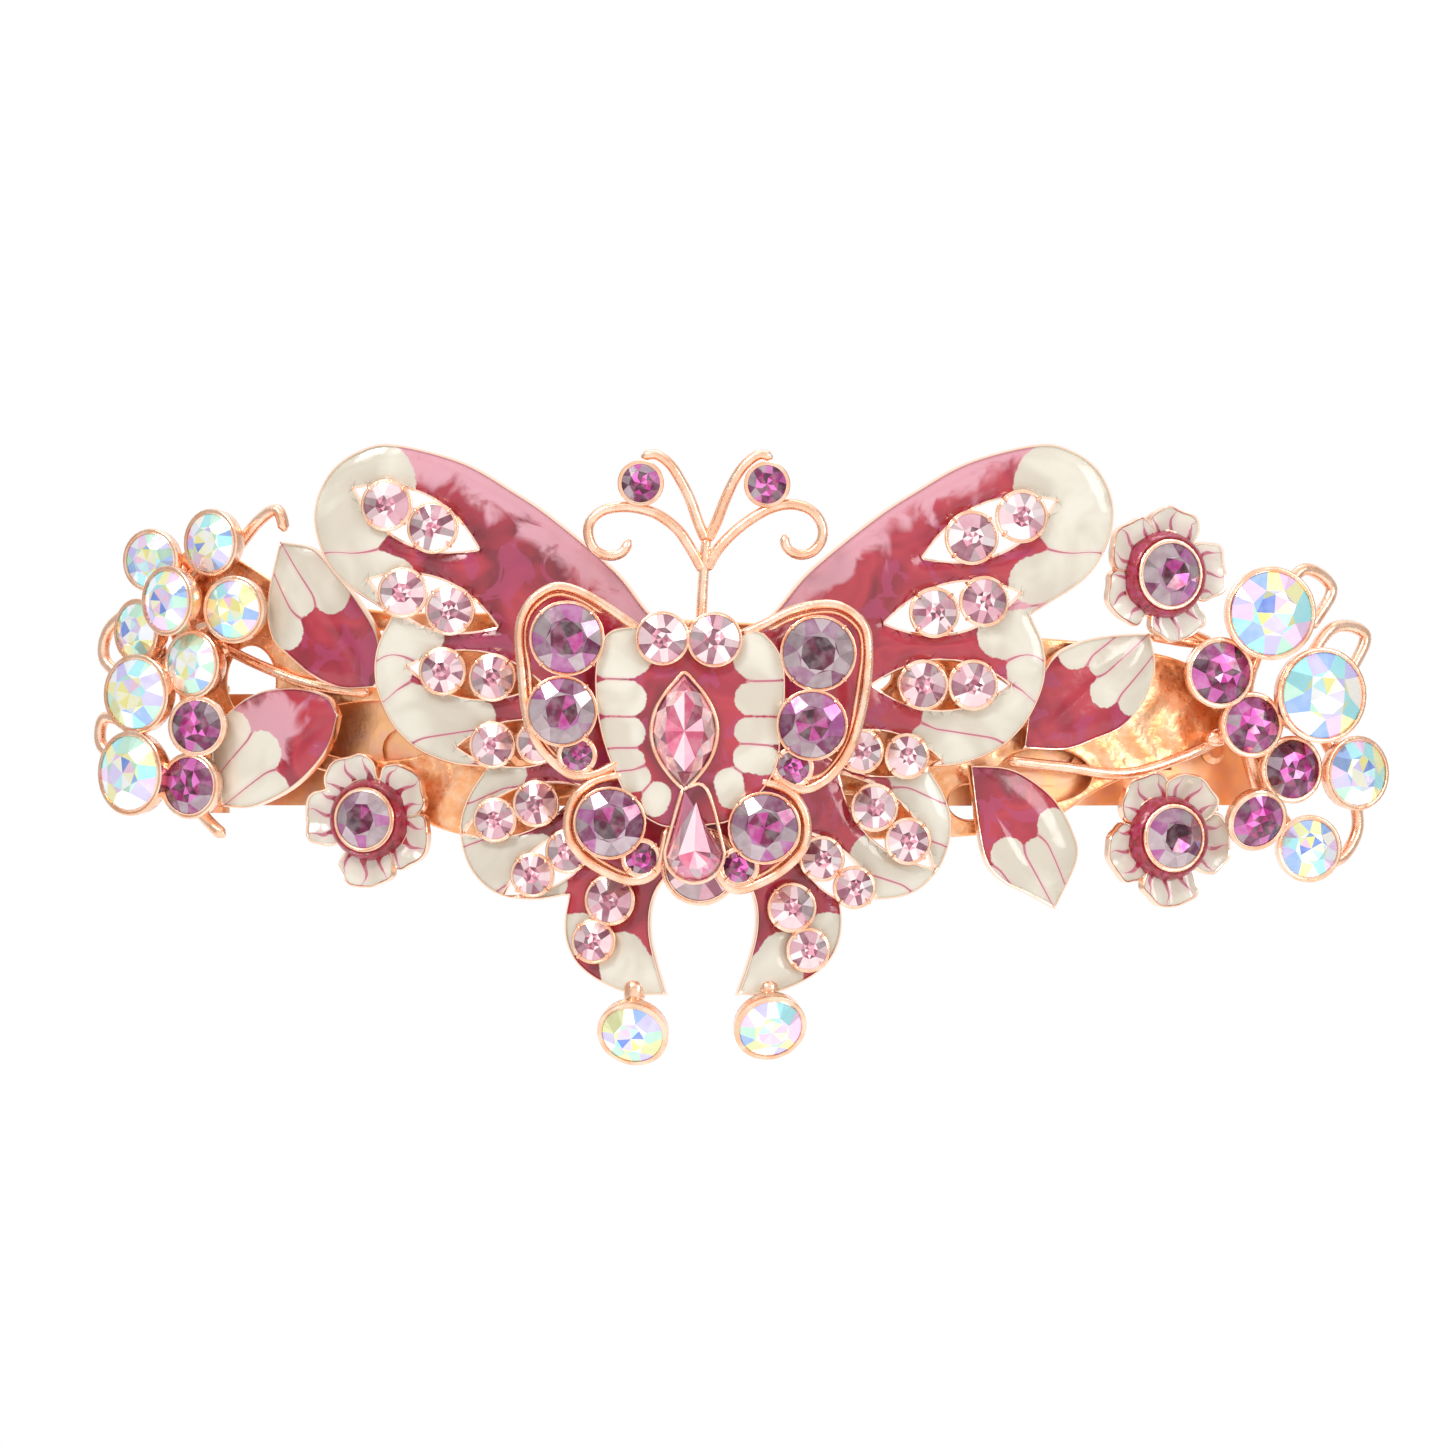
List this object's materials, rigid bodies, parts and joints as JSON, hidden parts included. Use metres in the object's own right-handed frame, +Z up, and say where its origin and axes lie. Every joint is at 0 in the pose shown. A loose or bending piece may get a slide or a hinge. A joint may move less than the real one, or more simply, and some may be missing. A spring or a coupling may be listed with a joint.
{
  "type": "hair clip",
  "caption": "Arched spring hair clip with a stone-set enamel butterfly between two jewelled flower sprays; a hinged arm snaps over a pinch catch to hold hair",
  "frame": {"origin": "In the hair gap between the bow spring and the closed arm, on the middle line of the clip's width", "axes": "+X along the clip to the wearer's-view right as seen from the front, +Y from the decorated front back into the hair, +Z up as worn"},
  "size_m": [0.1058, 0.0302, 0.0502],
  "materials": {
    "gilt_steel": "sprung steel with a thin pinkish gilt plating, softly polished",
    "rose_gold": "cast alloy with bright rose-gold plating, sand-cast texture on the twigs",
    "enamel": "rose-gold casting filled with glossy cream and magenta enamel",
    "amethyst_glass": "foil-backed facetted glass, deep amethyst",
    "pink_glass": "foil-backed facetted glass, light rose",
    "clear_glass": "foil-backed facetted glass with an iridescent coating"
  },
  "bodies": {
    "clip": {"clip_bar": "gilt_steel", "hinge_pin": "gilt_steel", "catch_bracket": "gilt_steel", "catch_rivet": "gilt_steel", "rivet_left": "gilt_steel", "rivet_right": "gilt_steel", "butterfly_rivet": "gilt_steel", "base_frame": "rose_gold", "spray_left": "rose_gold", "spray_right": "rose_gold", "small_butterfly": "rose_gold", "antennae": "rose_gold", "large_butterfly": "enamel", "leaf_upper_left": "enamel", "leaf_lower_left": "enamel", "leaf_upper_right": "enamel", "leaf_lower_right": "enamel", "flower_left": "enamel", "flower_upper_right": "enamel", "flower_lower_right": "enamel", "amethyst_left_1": "amethyst_glass", "amethyst_left_2": "amethyst_glass", "amethyst_right_1": "amethyst_glass", "amethyst_right_2": "amethyst_glass", "amethyst_right_3": "amethyst_glass", "amethyst_right_4": "amethyst_glass", "wing_amethyst_upper_left_1": "amethyst_glass", "wing_amethyst_upper_left_2": "amethyst_glass", "wing_amethyst_lower_left": "amethyst_glass", "wing_amethyst_upper_right_1": "amethyst_glass", "wing_amethyst_upper_right_2": "amethyst_glass", "wing_amethyst_lower_right": "amethyst_glass", "flower_stone_left": "amethyst_glass", "flower_stone_upper_right": "amethyst_glass", "flower_stone_lower_right": "amethyst_glass", "antenna_stone_left": "amethyst_glass", "antenna_stone_right": "amethyst_glass", "head_stone_left": "pink_glass", "head_stone_right": "pink_glass", "marquise_stone": "pink_glass", "pear_stone": "pink_glass", "abdomen_stone": "pink_glass", "clear_stone_left_1": "clear_glass", "clear_stone_left_2": "clear_glass", "clear_stone_left_3": "clear_glass", "clear_stone_left_4": "clear_glass", "clear_stone_left_5": "clear_glass", "clear_stone_left_6": "clear_glass", "clear_stone_left_7": "clear_glass", "clear_stone_left_8": "clear_glass", "clear_stone_right_1": "clear_glass", "clear_stone_right_2": "clear_glass", "clear_stone_right_3": "clear_glass", "clear_stone_right_4": "clear_glass", "tail_stone_left": "clear_glass", "tail_stone_right": "clear_glass"},
    "arm": {"clip_arm": "gilt_steel"},
    "bow": {"tension_bow": "gilt_steel"},
    "prong_upper": {"catch_prong_upper": "gilt_steel"},
    "prong_lower": {"catch_prong_lower": "gilt_steel"}
  },
  "joints": [
    {"name": "arm_hinge", "type": "hinge", "parent": "clip", "child": "arm", "pos_m": [-0.0395, 0.00711, 0], "axis": [0, 0, 1], "range_deg": [0, 60]},
    {"name": "bow_press", "type": "slide", "parent": "clip", "child": "bow", "axis": [0, -1, 0], "range_m": [0, 0.0008], "stiffness_N_per_m": 2000},
    {"name": "prong_upper_pinch", "type": "hinge", "parent": "clip", "child": "prong_upper", "pos_m": [0.0412, 0.00428, 0.0018], "axis": [-1, 0, 0], "range_deg": [0, 8], "stiffness_Nm_per_rad": 0.02},
    {"name": "prong_lower_pinch", "type": "hinge", "parent": "clip", "child": "prong_lower", "pos_m": [0.0412, 0.00428, -0.0018], "axis": [1, 0, 0], "range_deg": [0, 8], "stiffness_Nm_per_rad": 0.02}
  ]
}
